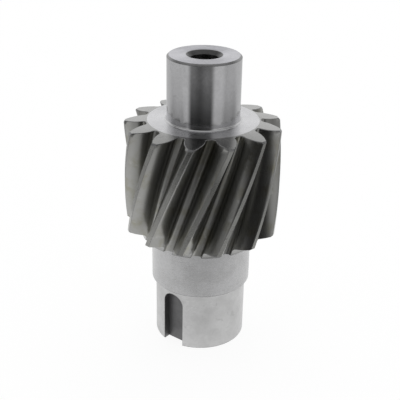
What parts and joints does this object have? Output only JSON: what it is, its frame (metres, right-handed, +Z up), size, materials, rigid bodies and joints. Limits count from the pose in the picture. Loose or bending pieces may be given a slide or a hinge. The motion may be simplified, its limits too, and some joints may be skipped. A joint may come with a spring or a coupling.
{
  "type": "helical pinion shaft",
  "caption": "One-piece steel pinion shaft: helical teeth between a plain bearing journal with a blind end hole and a stepped hub with a keyed shaft end.",
  "frame": {"origin": "centre of the keyed shaft's flat end, which the part stands on", "axes": "+Z up the shaft's axis towards the journal's end; -Y is the front, where a tooth space is centred 146 mm above the origin and the keyway lies 37 degrees to its left"},
  "size_m": [0.1056, 0.1056, 0.2047],
  "materials": {
    "machined_steel": "turned and ground, satin, with a thin oil film on the teeth"
  },
  "bodies": {
    "root": {"helical_pinion": "machined_steel"}
  },
  "joints": []
}
